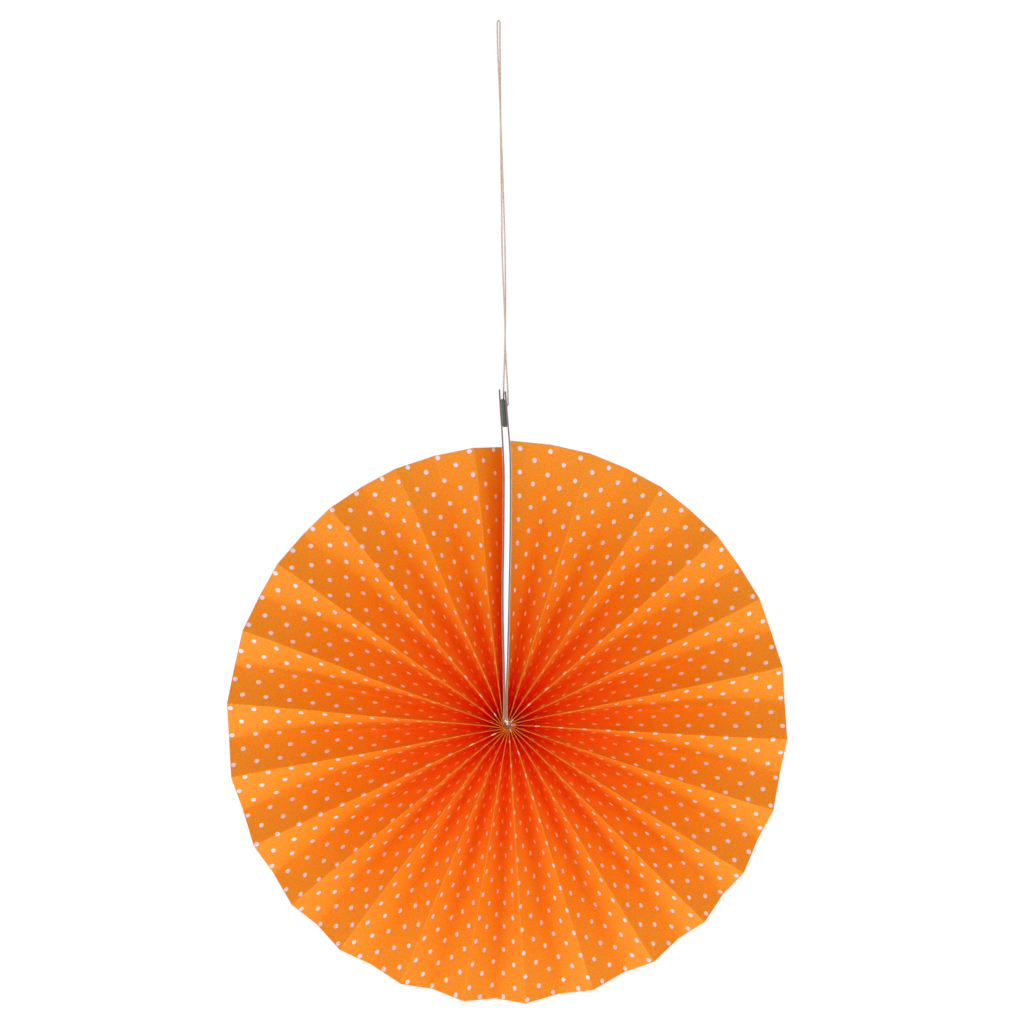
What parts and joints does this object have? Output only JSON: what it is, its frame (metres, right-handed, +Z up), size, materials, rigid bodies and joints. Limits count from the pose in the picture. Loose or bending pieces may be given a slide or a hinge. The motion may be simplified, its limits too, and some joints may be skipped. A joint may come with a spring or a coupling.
{
  "type": "paper fan rosette",
  "caption": "Round accordion-pleated paper fan that hangs on a cord loop, closed along one radius between two card strips.",
  "frame": {"origin": "inside of the top of the hanging loop, where a hook or nail bears", "axes": "+Z up as it hangs; -Y is the way the face with the mountain folds over the seam looks; +X to the right for someone looking at that face"},
  "size_m": [0.3986, 0.0315, 0.7009],
  "materials": {
    "printed_paper": "matte",
    "card_board": "matte",
    "foam_pad": "matte",
    "cord": "matte",
    "thread": "matte"
  },
  "bodies": {
    "root": {"pleated_paper": "printed_paper", "card_strip_right": "card_board", "card_strip_left": "card_board", "closing_pad": "foam_pad", "hanging_cord": "cord", "cord_knot": "cord", "binding_thread": "thread"}
  },
  "joints": []
}
